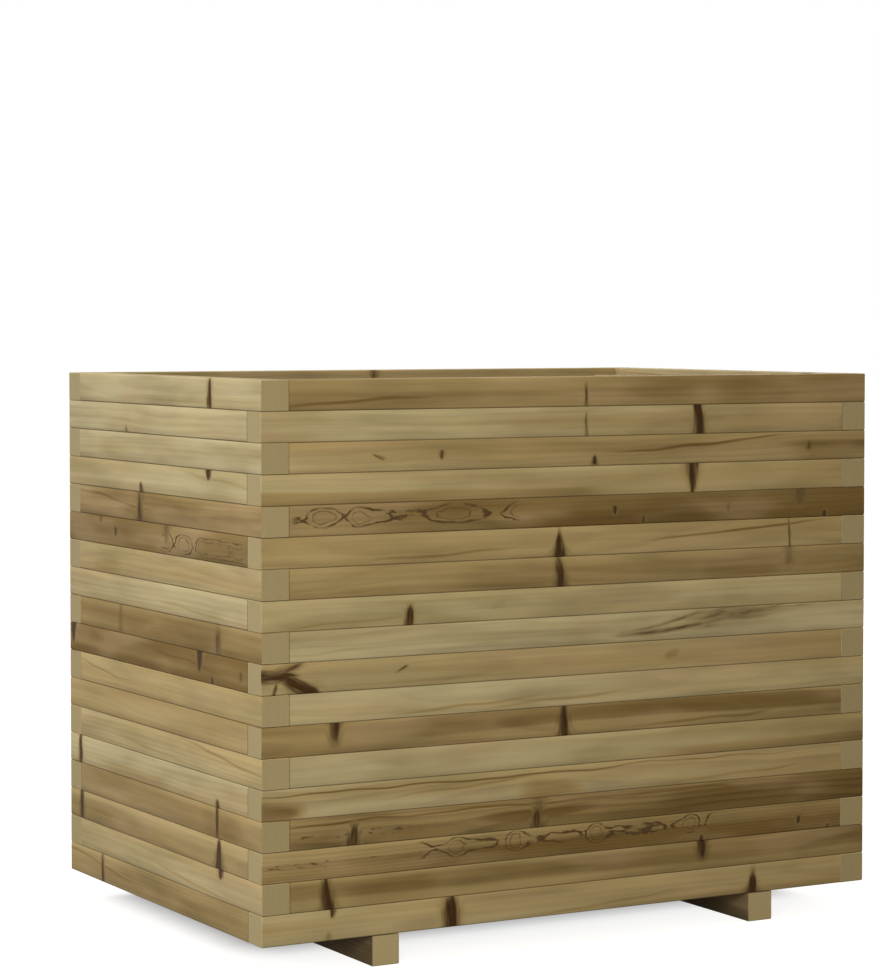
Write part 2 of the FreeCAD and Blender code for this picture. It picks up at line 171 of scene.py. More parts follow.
class Wiring:
    """Adds shader nodes to one tree and joins them up."""

    def __init__(self, tree):
        self.tree = tree

    def add(self, kind, sockets=None, **settings):
        """New node, with a value or a link on each socket given."""
        node = self.tree.nodes.new(kind)
        for name, value in settings.items():
            setattr(node, name, value)
        for key, value in (sockets or {}).items():
            if isinstance(value, bpy.types.NodeSocket):
                self.tree.links.new(value, node.inputs[key])
            else:
                node.inputs[key].default_value = value
        return node

    def math(self, operation, *values):
        return self.add("ShaderNodeMath", dict(enumerate(values)), operation=operation).outputs[0]

    def times(self, first, *others):
        """Product of two or more values."""
        for other in others:
            first = self.math("MULTIPLY", first, other)
        return first

    def plus(self, first, *others):
        """Sum of two or more values."""
        for other in others:
            first = self.math("ADD", first, other)
        return first

    def vector(self, operation, *values):
        return self.add("ShaderNodeVectorMath", dict(enumerate(values)), operation=operation).outputs[0]

    def parts(self, vector):
        return self.add("ShaderNodeSeparateXYZ", {0: vector}).outputs[:]

    def join(self, *parts):
        return self.add("ShaderNodeCombineXYZ", dict(enumerate(parts))).outputs[0]

    def mark(self, name, output="Vector"):
        """One of the marks that a timber's mesh carries."""
        return self.add("ShaderNodeAttribute", attribute_name=name).outputs[output]

    def noise(self, place, per_metre, detail=2.0):
        spot = self.vector("MULTIPLY", place, per_metre)
        return self.add("ShaderNodeTexNoise", {"Vector": spot, "Scale": 1.0, "Detail": detail}).outputs[0]

    def swing(self, noise, width):
        """Noise of 0 to 1 spread evenly about nothing."""
        return self.math("MULTIPLY_ADD", noise, width, -width / 2)

    def ease(self, value, start, end):
        """0 at start, 1 at end, smooth between."""
        limits = {0: value, 1: start, 2: end}
        return self.add("ShaderNodeMapRange", limits, interpolation_type="SMOOTHSTEP").outputs[0]

    def blend(self, amount, one, two):
        return self.add("ShaderNodeMix", {0: amount, 6: one, 7: two}, data_type="RGBA").outputs[2]

    def shade(self, colour, amount):
        """Colour times a value."""
        return self.add("ShaderNodeMix", {0: 1.0, 6: colour, 7: amount}, data_type="RGBA",
                        blend_type="MULTIPLY").outputs[2]


def shader_group(name, inputs, outputs):
    """New node group with its wiring, its inputs and its outputs."""
    tree = bpy.data.node_groups.new(name, "ShaderNodeTree")
    for in_out, sockets in (("INPUT", inputs), ("OUTPUT", outputs)):
        for label, kind in sockets.items():
            tree.interface.new_socket(label, in_out=in_out, socket_type=f"NodeSocket{kind}")
    wiring = Wiring(tree)
    return wiring, wiring.add("NodeGroupInput").outputs, wiring.add("NodeGroupOutput").inputs


# A knot's outline: how blunt its ends are, its fibres in waves per metre, and how far they fray it
BLUNTNESS = 4.0
KNOT_FIBRES = (28, 200, 1)
FRAY, LEAST_FRAY = 0.9, 0.55
# Where its heart and the stain round it begin and are full, in half widths, and how its fibres dim the heart
KNOT_EDGE, STAIN_EDGE = (2.5, 0.20), (3.4, 0.4)
FIBRE_GAPS, FULL_HEART = -1.4, 1.7


def branch_knot_group():
    """A branch cut through: a tapered bar with a ragged edge, at one spot and angle on the timber.

    Its depth is how dark it is. A negative depth is a stain with no heart.
    """
    wiring, given, result = shader_group(
        "branch_knot",
        {"Place": "Vector", "Spot": "Vector", "Form": "Vector", "Depth": "Float", "Seed": "Float"},
        {"Heart": "Float", "Halo": "Float", "Bleed": "Float"})
    along, up, _ = wiring.parts(given["Place"])
    spot_along, spot_up, angle = wiring.parts(given["Spot"])
    half_length, half_width, taper = wiring.parts(given["Form"])
    run = wiring.math("SUBTRACT", along, spot_along)
    rise = wiring.math("SUBTRACT", up, spot_up)
    cos, sin = wiring.math("COSINE", angle), wiring.math("SINE", angle)
    lengthwise = wiring.plus(wiring.times(run, cos), wiring.times(rise, sin))
    crosswise = wiring.math("SUBTRACT", wiring.times(rise, cos), wiring.times(run, sin))
    reach = wiring.math("DIVIDE", lengthwise, half_length)
    clamped = wiring.math("MINIMUM", wiring.math("MAXIMUM", reach, -1.0), 1.0)
    width = wiring.times(half_width, wiring.math("MULTIPLY_ADD", taper, clamped, 1.0))
    side = wiring.math("DIVIDE", crosswise, width)
    blunt_reach = wiring.math("POWER", wiring.math("ABSOLUTE", reach), BLUNTNESS)
    distance = wiring.math("SQRT", wiring.plus(blunt_reach, wiring.times(side, side)))
    own_place = wiring.join(lengthwise, crosswise, given["Seed"])
    fibre = wiring.noise(own_place, KNOT_FIBRES)
    ragged = wiring.times(distance, wiring.math("MULTIPLY_ADD", fibre, FRAY, LEAST_FRAY))
    heart = wiring.times(wiring.ease(ragged, *KNOT_EDGE), given["Depth"],
                         wiring.math("MULTIPLY_ADD", fibre, FIBRE_GAPS, FULL_HEART))
    near = wiring.ease(distance, *STAIN_EDGE)
    halo = wiring.times(near, wiring.math("ABSOLUTE", given["Depth"]))
    bleed = wiring.times(near, wiring.math("MAXIMUM", given["Depth"], 0.0))
    wiring.tree.links.new(wiring.math("MAXIMUM", heart, 0.0), result["Heart"])
    wiring.tree.links.new(halo, result["Halo"])
    wiring.tree.links.new(bleed, result["Bleed"])
    return wiring.tree


# The wood's noises: waves per metre along, up and into the timber, and detail
NOISES = {
    "knot_run": ((10, 35, 12), 1.0),
    "knot_rise": ((9, 8, 12), 1.0),
    "sway": ((1.8, 9, 9), 2.0),
    "ripple": ((14, 70, 70), 2.0),
    "broad": ((1.7, 40, 40), 2.0),
    "streak": ((2.6, 170, 170), 3.0),
    "fibre": ((14, 900, 900), 2.0),
    "smear": ((6, 26, 26), 2.0),
    "uneven": ((9, 0, 0), 1.0),
    "tremble": ((36, 90, 0), 3.0),
    "stroke": ((45, 80, 20), 1.0),
    "dash": ((75, 260, 60), 1.0),
    "speck": ((500, 500, 500), 2.0),
    "saw_line": ((0, 14, 260), 2.0),
}
# How far some of them swing, from end to end: places in metres, then brownness and lightness
SWING = {
    "knot_run": 6 * MM,
    "knot_rise": 14 * MM,
    "sway": 18 * MM,
    "ripple": 1.2 * MM,
    "broad": 1.0,
    "streak": 0.36,
    "smear": -0.52,
    "fibre": 0.14,
    "speck": 0.12,
    "saw_line": 0.12,
}
BLUSH_WAVES, BLUSH_APART = (5, 20, 20), (7.0, 3.0, 5.0)
RING_WIDTH, RING_SWERVE = 3.4 * MM, 4 * MM
LATE_WOOD_START, LATE_WOOD_FULL = 0.25, 0.85
# Heartwood: how much more than the rings it sways, its full share of the band, and the run of its ends
HEART_SWAY, HEART_FULL, HEART_FADE = 1.2, 0.6, 60 * MM
# Where each colour begins and is full, by brownness or by noise, and how strong it is
PALE_TO_HONEY, HONEY_TO_BROWN, OLIVE_TO_BROWN = (-0.15, 0.55), (0.35, 1.25), (0.4, 1.0)
SMEAR_EDGE, BLUSH_EDGE = (0.45, 0.70), (0.48, 0.68)
HALO_BROWN, STAIN_SHARE, BLUSH_SHARE, BLEED_SHARE = 0.40, 0.55, 0.45, 0.35
# Figure: radians per metre and how unevenly they come, the ring's dome, swell and tremble, and its lines
EYE_PITCH, EYE_SHIFT = 58.0, 18.0
DOME, SWELL, TREMBLE = 3100.0, 0.25, 0.60
DOME_SLOPE_SQUARED, LEAST_SLOPE_SQUARED = 3.8e7, 900.0
EYE_LINES = ((0.77, 1.5 * MM, 1.0), (0.50, 1.1 * MM, 0.5))
LINE_FULL, STRETCH_FULL = 0.4, 0.92
STROKE_EDGE, FIGURE_EDGE = (0.28, 0.52), (15 * MM, 9 * MM)
FLECK_ROW, DASH_EDGE = (5 * MM, 3 * MM), (0.58, 0.70)
# Painted shade and highlight by height on the face: darker at the foot, lighter towards the top edge in two
# steps
PAINTED_SHADE_FOOT, FOOT_PAINTED_SHADE = (13 * MM, 0.0), 0.23
PAINTED_HIGHLIGHT_RISES, TOP_PAINTED_HIGHLIGHT = ((16 * MM, 36 * MM), (30 * MM, 34 * MM)), 0.12
# Dark marks: how strong the figure and flecks are, and how deep a knot is where bark and heart show
MARK_SHARE, FIGURE_DARK = 0.95, 0.40
BARK_DEPTH, HEART_DEPTH = (0.05, 0.90), (0.45, 1.05)
# Ends, and eased edges with painted shade and painted highlight
END_RINGS = 0.05
PAINTED_SHADE_SLOPE, PAINTED_HIGHLIGHT_SLOPE, EDGE_PAINTED_HIGHLIGHT = (0.0, -0.5), (0.0, 0.7), 0.12
# Roughness: the least, and what streaks, knots and end grain add
ROUGHNESS, STREAK_ROUGH, KNOT_ROUGH, END_ROUGH = 0.60, 0.20, -0.12, 0.15
# Relief: saw teeth in radians per metre and their wander, then the height of fibres, late wood and end specks
SAW_TEETH, TOOTH_WANDER = 2200.0, 9.0
FIBRE_HEIGHT, LATE_WOOD_HEIGHT, SPECK_HEIGHT = 0.6, 0.5, 1.5


def treated_pine_group(knot_group):
    """Solid pine: rings about a pith, fibres, heartwood, knots and end grain, in the timber's own place."""
    wiring, given, result = shader_group(
        "treated_pine",
        {"Pale": "Color", "Honey": "Color", "Brown": "Color", "Olive": "Color", "Rosy": "Color",
         "Bark": "Color", "Knot": "Color", "End": "Color", "Ring strength": "Float", "Painted shading": "Float",
         "Saw marks": "Float"},
        {"Colour": "Color", "Roughness": "Float", "Height": "Float"})
    place = wiring.mark("place")
    along, up, deep = wiring.parts(place)
    pith_up, pith_deep, seed = wiring.parts(wiring.mark("pith"))
    brown_level, drift, lightness = wiring.parts(wiring.mark("shade"))
    heart_up, heart_half, heart_amount = wiring.parts(wiring.mark("heart"))
    reach_start, reach_end, reach_slope = wiring.parts(wiring.mark("reach"))
    own_rings, own_streaks, own_stains = wiring.parts(wiring.mark("grain"))
    spot = wiring.vector("ADD", place, wiring.join(seed, seed, seed))
    noise = {name: wiring.noise(spot, *form) for name, form in NOISES.items()}
    swing = {name: wiring.swing(noise[name], width) for name, width in SWING.items()}

    # Knots: the darkest of the timber's branches at each point, and the stained wood round them
    bent_place = wiring.vector("ADD", place, wiring.join(swing["knot_run"], swing["knot_rise"]))
    depths = [*wiring.parts(wiring.mark("first_depths")), *wiring.parts(wiring.mark("last_depths"))]
    knot_heart, halo, bleed = 0.0, 0.0, 0.0
    for number, depth in enumerate(depths):
        knot = wiring.add("ShaderNodeGroup", node_tree=knot_group)
        links = {"Place": bent_place, "Spot": wiring.mark(f"knot_{number}_spot"),
                 "Form": wiring.mark(f"knot_{number}_form"), "Depth": depth, "Seed": seed}
        for label, value in links.items():
            wiring.tree.links.new(value, knot.inputs[label])
        knot_heart = wiring.math("MAXIMUM", knot_heart, knot.outputs["Heart"])
        halo = wiring.math("MAXIMUM", halo, knot.outputs["Halo"])
        bleed = wiring.math("MAXIMUM", bleed, knot.outputs["Bleed"])

    # Rings: distance from the pith, which sways along the timber and swerves round the knots
    to_pith = wiring.join(wiring.math("SUBTRACT", up, pith_up), wiring.math("SUBTRACT", deep, pith_deep))
    radius = wiring.add("ShaderNodeVectorMath", {0: to_pith}, operation="LENGTH").outputs["Value"]
    radius = wiring.plus(radius, swing["sway"], swing["ripple"], wiring.times(bleed, RING_SWERVE))
    ring = wiring.math("FRACT", wiring.math("DIVIDE", radius, RING_WIDTH))
    late_wood = wiring.times(wiring.ease(ring, LATE_WOOD_START, LATE_WOOD_FULL),
                             wiring.ease(ring, 1.0, LATE_WOOD_FULL))

    # Heartwood: a brown band along the timber, between two places and on a slope
    middle = wiring.math("MULTIPLY_ADD", wiring.math("SUBTRACT", along, reach_start), reach_slope, heart_up)
    off_middle = wiring.math("SUBTRACT", wiring.math("MULTIPLY_ADD", swing["sway"], HEART_SWAY, up), middle)
    band = wiring.ease(wiring.math("ABSOLUTE", off_middle), heart_half, wiring.times(heart_half, HEART_FULL))
    for end, inward in ((reach_start, HEART_FADE), (reach_end, -HEART_FADE)):
        band = wiring.times(band, wiring.ease(along, end, wiring.plus(end, inward)))

    # Colour: sapwood to heartwood, in soft lengthwise smears, with olive and rosy stains
    blush = wiring.noise(wiring.vector("ADD", spot, BLUSH_APART), BLUSH_WAVES)
    brown = wiring.math("MULTIPLY_ADD", along, drift, brown_level)
    brown = wiring.math("MULTIPLY_ADD", band, heart_amount, brown)
    brown = wiring.plus(brown, swing["broad"])
    brown = wiring.math("MULTIPLY_ADD", halo, HALO_BROWN, brown)
    colour = wiring.blend(wiring.ease(brown, *PALE_TO_HONEY), given["Pale"], given["Honey"])
    colour = wiring.blend(wiring.ease(brown, *HONEY_TO_BROWN), colour, given["Brown"])
    stain = wiring.blend(wiring.ease(brown, *OLIVE_TO_BROWN), given["Olive"], given["Brown"])
    stained = wiring.times(wiring.ease(noise["smear"], *SMEAR_EDGE), own_stains, STAIN_SHARE)
    colour = wiring.blend(stained, colour, stain)
    colour = wiring.blend(wiring.times(wiring.ease(blush, *BLUSH_EDGE), BLUSH_SHARE), colour, given["Rosy"])
    colour = wiring.blend(wiring.times(bleed, BLEED_SHARE), colour, given["Olive"])

    def window(name):
        """How far inside a stretch of the timber, and the height above its middle line."""
        centre, half, level = wiring.parts(wiring.mark(name))
        off_centre = wiring.math("ABSOLUTE", wiring.math("SUBTRACT", along, centre))
        inside = wiring.ease(off_centre, half, wiring.times(half, STRETCH_FULL))
        return inside, wiring.math("SUBTRACT", up, level)

    # Figure: long eyes in a row, where the face just grazes a ring that rises and falls along the timber
    inside, rise = window("figure")
    uneven = wiring.times(noise["uneven"], EYE_SHIFT)
    swell = wiring.math("SINE", wiring.math("MULTIPLY_ADD", along, EYE_PITCH, uneven))
    rise_squared = wiring.times(rise, rise)
    graze = wiring.math("MULTIPLY_ADD", rise_squared, DOME, wiring.math("MULTIPLY_ADD", swell, SWELL, SWELL))
    graze = wiring.math("MULTIPLY_ADD", noise["tremble"], TREMBLE, graze)
    slope_squared = wiring.math("MULTIPLY_ADD", rise_squared, DOME_SLOPE_SQUARED, LEAST_SLOPE_SQUARED)
    slope = wiring.math("SQRT", slope_squared)
    line = 0.0
    for level, thick, strength in EYE_LINES:
        away = wiring.math("DIVIDE", wiring.math("ABSOLUTE", wiring.math("SUBTRACT", graze, level)), slope)
        contour = wiring.times(wiring.ease(away, thick, LINE_FULL * thick), strength)
        line = wiring.math("MAXIMUM", line, contour)
    stroke = wiring.ease(noise["stroke"], *STROKE_EDGE)
    inside = wiring.times(inside, wiring.ease(wiring.math("ABSOLUTE", rise), *FIGURE_EDGE))
    figure = wiring.times(line, inside, stroke)

    # Flecks: a row of short resin streaks
    inside, rise = window("flecks")
    row = wiring.ease(wiring.math("ABSOLUTE", rise), *FLECK_ROW)
    dash = wiring.ease(noise["dash"], *DASH_EDGE)
    flecks = wiring.times(dash, row, inside)

    # Tone: rings, streaks, smears and fibres lighten or darken the colour, and so do a painted shade at the
    # foot and a painted highlight towards the top edge; then dark marks go on top
    dim = wiring.times(late_wood, given["Ring strength"], own_rings)
    streaked = wiring.times(swing["streak"], own_streaks)
    tone = wiring.plus(wiring.math("SUBTRACT", lightness, dim), streaked, swing["smear"], swing["fibre"])
    # Painted highlight towards the top edge and painted shade at the foot, as light falling from above would
    # give
    painted_highlight = wiring.plus(*(wiring.times(wiring.ease(up, *limits), TOP_PAINTED_HIGHLIGHT) for limits in PAINTED_HIGHLIGHT_RISES))
    painted_shade = wiring.math("SUBTRACT", wiring.times(wiring.ease(up, *PAINTED_SHADE_FOOT), FOOT_PAINTED_SHADE), painted_highlight)
    tone = wiring.math("SUBTRACT", tone, wiring.times(painted_shade, given["Painted shading"]))
    colour = wiring.shade(colour, tone)
    marked = wiring.times(wiring.math("MAXIMUM", figure, flecks), MARK_SHARE)
    marked = wiring.math("MAXIMUM", marked, wiring.ease(knot_heart, *BARK_DEPTH))
    colour = wiring.blend(marked, colour, given["Bark"])
    darkest = wiring.math("MAXIMUM", wiring.ease(knot_heart, *HEART_DEPTH), wiring.times(figure, FIGURE_DARK))
    colour = wiring.blend(darkest, colour, given["Knot"])

    # End grain: faint rings and saw lines, specked where the fibres are cut across
    end_grain = wiring.mark("end_grain", "Fac")
    end_tone = wiring.math("SUBTRACT", lightness, wiring.times(late_wood, END_RINGS))
    end_tone = wiring.plus(end_tone, swing["speck"], swing["saw_line"])
    colour = wiring.blend(end_grain, colour, wiring.shade(given["End"], end_tone))

    # Eased edges: painted shade in the ones that face down, a paler painted highlight on the ones that face
    # up
    arris = wiring.mark("arris", "Fac")
    edge_shade = wiring.times(wiring.ease(arris, *PAINTED_SHADE_SLOPE), given["Painted shading"])
    edge_highlight = wiring.times(wiring.ease(arris, *PAINTED_HIGHLIGHT_SLOPE), EDGE_PAINTED_HIGHLIGHT)
    edge_shading = wiring.plus(wiring.math("SUBTRACT", 1.0, edge_shade), edge_highlight)
    wiring.tree.links.new(wiring.shade(colour, edge_shading), result["Colour"])

    # Surface: rougher in streaks and ends, smoother on knots, with fibres, rings and saw teeth in relief
    roughness = wiring.math("MULTIPLY_ADD", noise["streak"], STREAK_ROUGH, ROUGHNESS)
    roughness = wiring.math("MULTIPLY_ADD", knot_heart, KNOT_ROUGH, roughness)
    roughness = wiring.math("MULTIPLY_ADD", end_grain, END_ROUGH, roughness)
    wiring.tree.links.new(roughness, result["Roughness"])
    wander = wiring.times(noise["streak"], TOOTH_WANDER)
    tooth = wiring.math("SINE", wiring.math("MULTIPLY_ADD", along, SAW_TEETH, wander))
    height = wiring.times(late_wood, LATE_WOOD_HEIGHT)
    height = wiring.math("MULTIPLY_ADD", noise["fibre"], FIBRE_HEIGHT, height)
    height = wiring.math("MULTIPLY_ADD", tooth, given["Saw marks"], height)
    height = wiring.math("MULTIPLY_ADD", noise["speck"], wiring.times(end_grain, SPECK_HEIGHT), height)
    wiring.tree.links.new(height, result["Height"])
    return wiring.tree


def new_material(name):
    """New empty material and its wiring."""
    material = bpy.data.materials.new(name)
    material.use_nodes = True
    material.node_tree.nodes.clear()
    return material, Wiring(material.node_tree)


OLIVE_STAIN = (0.310, 0.255, 0.112)
ROSY_STAIN = (0.400, 0.290, 0.165)
BARK_BROWN = (0.110, 0.070, 0.031)
KNOT_HEART = (0.048, 0.021, 0.006)
END_GRAIN = (0.370, 0.303, 0.172)
# Paler end grain for the skids, partly painted light on their front ends
PALE_END_PAINTED_LIGHT = (0.450, 0.370, 0.208)
GRAIN_BUMP, WOOD_GLOSS = 0.6, 0.08
treated_pine = treated_pine_group(branch_knot_group())


def pine_material(name, pale, honey, brown, end, ring_strength, painted_shading, saw_marks, relief):
    """Treated pine in one finish, its colours as (red, green, blue) in linear light."""
    material, wiring = new_material(name)
    pine = wiring.add("ShaderNodeGroup", node_tree=treated_pine)
    colours = {"Pale": pale, "Honey": honey, "Brown": brown, "Olive": OLIVE_STAIN, "Rosy": ROSY_STAIN,
               "Bark": BARK_BROWN, "Knot": KNOT_HEART, "End": end}
    for label, colour in colours.items():
        pine.inputs[label].default_value = (*colour, 1.0)
    # The seam amount sets how strong the painted shade at seams and feet and the painted highlight at top
    # edges are
    amounts = {"Ring strength": ring_strength, "Painted shading": painted_shading, "Saw marks": saw_marks}
    for label, value in amounts.items():
        pine.inputs[label].default_value = value
    bump = wiring.add("ShaderNodeBump", {
        "Strength": GRAIN_BUMP, "Distance": relief, "Height": pine.outputs["Height"]})
    shader = wiring.add("ShaderNodeBsdfPrincipled", {
        "Base Color": pine.outputs["Colour"], "Roughness": pine.outputs["Roughness"],
        "Normal": bump.outputs["Normal"], "Specular IOR Level": WOOD_GLOSS})
    wiring.add("ShaderNodeOutputMaterial", {"Surface": shader.outputs["BSDF"]})
    return material


PLANED_ARRIS = 1.5 * MM
# The skids' deep brown is partly painted shade, darkening their sides as if in the dark under the bed
SKID_SEED, SKID_BROWN_AND_SHADE = 900, 1.1
skid_pine = pine_material("skid_pine", pale=(0.45, 0.365, 0.20), honey=(0.36, 0.27, 0.13),
                          brown=(0.100, 0.074, 0.043), end=PALE_END_PAINTED_LIGHT, ring_strength=0.16, painted_shading=0.2,
                          saw_marks=0.0, relief=0.25 * MM)
for number, side in enumerate(("left", "right")):
    rng = random.Random(SKID_SEED + number)
    bm = bmesh.new()
    add_timber(bm, *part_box(f"skid_{side}"), Y, Z, timber_marks(rng, SKID_BROWN_AND_SHADE), PLANED_ARRIS)
    finish_piece(bm, f"skid_timber_{side}", skid_pine, "skid_pine", f"skid_{side}")

# Floor: sawn pine boards laid lengthways over the skids, with gaps for drainage.
# Two short edge boards fill the space between the uprights of the long walls.
BOARD_ARRIS = 1.0 * MM
FLOOR_SEED, FLOOR_BROWN = 800, (0.1, 0.5)
floor_pine = pine_material("floor_pine", pale=(0.43, 0.35, 0.19), honey=(0.35, 0.265, 0.13),
                           brown=(0.17, 0.108, 0.04), end=END_GRAIN, ring_strength=0.20, painted_shading=0.3,
                           saw_marks=0.5, relief=0.6 * MM)
floor_places = ("front", "1", "2", "3", "4", "5", "back")
# Knots of boards and uprights: how many, and limits of half length, place, angle, shape, taper and depth
OVAL_COUNTS = (1, 2, 2, 3)
OVAL_HALF_LENGTH, OVAL_PLACE, OVAL_ANGLE = (4.0, 9.0), (0.2, 0.8), (-0.4, 0.4)
OVAL_SHAPE, OVAL_TAPER, OVAL_DEPTH = (0.35, 0.65), (-0.3, 0.3), (0.55, 0.95)


def oval_knots(rng, start, end, width):
    """One to three branches cut across on a timber's wide face, as spots, forms and depths in metres."""
    knots = []
    for _ in range(rng.choice(OVAL_COUNTS)):
        half_length = rng.uniform(*OVAL_HALF_LENGTH) * MM
        spot = (rng.uniform(start, end), rng.uniform(*OVAL_PLACE) * width, rng.uniform(*OVAL_ANGLE))
        form = (half_length, half_length * rng.uniform(*OVAL_SHAPE), rng.uniform(*OVAL_TAPER))
        knots.append((spot, form, rng.uniform(*OVAL_DEPTH)))
    return knots


for number, place in enumerate(floor_places):
    rng = random.Random(FLOOR_SEED + number)
    low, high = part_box(f"floor_board_{place}")
    brown = rng.uniform(*FLOOR_BROWN)
    marks = timber_marks(rng, brown, knots=oval_knots(rng, low[X], high[X], high[Y] - low[Y]))
    bm = bmesh.new()
    add_timber(bm, low, high, X, Y, marks, BOARD_ARRIS)
    finish_piece(bm, f"floor_timber_{place}", floor_pine, "floor_pine", f"floor_board_{place}")

# Walls: planed pine laths, one course of four on another. In each course a lath runs past one corner and
# butts at the other, and the next course turns the other way, so end grain and long faces alternate up every
# corner. The tables below go down from the rim.
LENGTH, WIDTH, LATH = 900 * MM, 600 * MM, 38 * MM
BUTT_GAP = 0.5 * MM
COURSES = 18
# A kind of knot or stain: height on the lath, half length and half width in mm, angle in degrees, and taper
KNOT_KINDS = {
    "bar": (19, 30, 5.0, 92, -0.15),
    "broad": (13, 22, 7.5, 92, 0.0),
    "spindle": (17, 23, 4.8, 98, -0.45),
    "bulb": (16, 25, 4.6, 94, -0.4),
    "wedge": (14, 24, 5.0, 90, -0.6),
    "tent": (9, 20, 6.2, 88, -0.6),
    "stub": (9, 14, 3.6, 86, 0.0),
    "plug": (22, 22, 5.8, 92, 0.6),
    "upper": (28, 13, 5.0, 90, 0.1),
    "lower": (9, 14, 4.2, 86, -0.3),
    "cap": (38, 11, 2.4, 2, 0.0),
    "spot": (18, 5, 2.2, 86, 0.0),
    "low_spot": (4, 5, 2.4, 85, -0.3),
    "high_spot": (34, 5, 2.6, 82, 0.3),
    "dash": (14, 13, 1.6, 90, -0.2),
    "pin": (17, 20, 1.3, 90, 0.0),
    "twig": (17, 8, 1.4, -25, 0.4),
    "sprig": (22, 7, 1.2, 25, 0.4),
    "sweep": (15.5, 66, 2.4, 3.5, -0.2),
    "sweep_top": (25.5, 50, 2.0, 9.5, 0.2),
    "trail": (28, 64, 6.5, 4.5, -0.3),
    "trail_end": (35, 35, 1.2, 3, 0.0),
    "vein": (25, 90, 0.8, 4, 0.0),
    "low_vein": (10, 70, 0.9, 3, 0.0),
    "ring_line": (31, 300, 0.6, 0.3, 0.0),
    "cloud": (16, 40, 8.0, 2, 0.0),
    "blot": (6, 30, 7.0, 3, -0.3),
    "smudge": (19, 8, 2.2, 12, 0.0),
    "fork_root": (23, 30, 5.5, -3, -0.3),
    "fork_up": (30, 20, 4.2, 20, -0.4),
    "fork_down": (9, 24, 6.0, -27, 0.2),
    "wing": (19, 55, 2.6, 2, 0.0),
    "drip": (6, 9, 2.2, 80, 0.0),
    "side_bar": (18, 22, 4.5, 90, -0.2),
    "side_top": (27, 14, 6.0, 90, 0.45),
    "side_foot": (14, 17, 4.5, 90, -0.1),
    "side_tent": (12, 24, 6.5, 90, -0.6),
    "side_line": (18, 20, 3.2, 90, 0.0),
    "side_spot": (18, 5, 4.0, 86, 0.0),
    "side_low": (4, 6, 4.2, 85, -0.3),
    "side_high": (34, 6, 4.6, 85, 0.3),
}
# A lath, in mm from the near corner: how brown it is and how that drifts along it, its dark heart (height,
# half width, strength) and the heart's reach (start, end, slope), stretches of figure and of resin flecks
# (start, end, height), the strength of its rings, and its knots (place, kind, depth; below 0 only a stain)
# Front laths without a drift of their own grow browner towards the right, partly as painted shade where the
# light falls off along the front wall
FRONT_PAINTED_SHADE_DRIFT = 0.3
FRONT_WALL = [
    # The rim lath's two clouds are painted shadow of foliage over the rim, and its brownness is partly
    # painted shade from it
    dict(brown=0.76, drift=0.1,
         knots=[(459, "dash", 0.6), (715, "cloud", -0.5), (570, "cloud", -0.4), (120, "low_vein", -0.8)]),
    dict(brown=0.28, knots=[(459, "dash", 0.5), (631, "bar"), (30, "blot", -0.5), (862, "lower", 0.25)]),
    dict(brown=0.57, heart=(12, 22, 0.4), reach=(760, 960, 0.0),
         knots=[(160, "twig", 0.6), (249, "spot", 0.8), (472, "low_spot"), (808, "spot", 0.7),
                (640, "vein", -1.4)]),
    dict(brown=0.30, heart=(8, 12, 0.40), reach=(-60, 500, -0.012),
         knots=[(621, "plug"), (840, "cloud", -0.3)]),
    dict(brown=0.98, drift=0.5, heart=(6, 15, 0.3), reach=(360, 960, 0.0), figure=(39, 364, 22),
         knots=[(502, "spot"), (545, "low_spot", 0.8), (678, "spot", 0.5), (793, "upper", 0.6),
                (833, "low_spot")]),
    dict(brown=0.35, drift=0.1,
         knots=[(419, "tent"), (419, "pin", 0.5), (776, "pin", 0.6), (690, "vein", -1.4),
                (250, "low_vein", -0.8)]),
    dict(brown=0.65, drift=0.35, knots=[(420, "bulb", 0.9), (775, "upper", 0.4), (700, "cloud", -0.5)]),
    dict(brown=0.20, drift=0.1, knots=[(203, "stub"), (330, "smudge", -0.5), (120, "low_vein", -0.8)]),
    dict(brown=-0.05, drift=0.1, rings=1.1,
         knots=[(590, "sweep", 0.62), (588, "sweep_top", 0.5), (690, "trail", 0.52), (780, "trail_end", 0.4),
                (60, "low_vein", -0.8)]),
    dict(brown=0.36,
         knots=[(14, "fork_root", 0.8), (36, "fork_up", 0.6), (50, "fork_down", 0.95), (18, "drip", 0.6),
                (192, "sprig", 0.6), (590, "smudge", -0.8)]),
    dict(brown=0.15, drift=0.4, knots=[(290, "low_vein", -1.2), (420, "low_vein", -1.0)]),
    dict(brown=0.68, drift=-0.2, heart=(26, 14, 0.35), reach=(180, 960, 0.0), rings=1.6,
         knots=[(100, "upper", 0.85), (427, "bulb"), (640, "low_vein", -0.8)]),
    dict(brown=0.20, drift=0.9, heart=(4, 10, 0.3), reach=(560, 960, 0.0)),
    dict(brown=0.20, rings=1.6,
         knots=[(12, "blot", -2.8), (408, "blot", -1.5), (300, "vein", -1.0), (700, "low_vein", -0.8),
                (330, "ring_line", -1.8)]),
    dict(brown=0.86, drift=0.5, heart=(16, 18, 0.15), reach=(560, 960, 0.0), flecks=(0, 250, 15), rings=2.6,
         knots=[(124, "lower", 0.9), (390, "cap", 0.45), (386, "stub", 0.9), (389, "bar", 0.45),
                (330, "ring_line", -1.3), (388, "wing", -1.6)]),
    dict(brown=0.72, drift=0.7, heart=(4, 17, 0.38), figure=(212, 662, 24), flecks=(0, 190, 19), rings=1.6,
         knots=[(792, "spot"), (841, "low_spot", 0.8), (637, "low_spot")]),
    dict(brown=0.68, drift=0.4, heart=(24, 12, 0.2), rings=1.4,
         knots=[(88, "spindle"), (639, "upper"), (180, "cloud", -0.5)]),
    dict(brown=0.40,
         knots=[(262, "broad"), (718, "tent"), (95, "high_spot", 0.8), (90, "low_spot", 0.4),
                (500, "low_vein", -0.8)]),
]
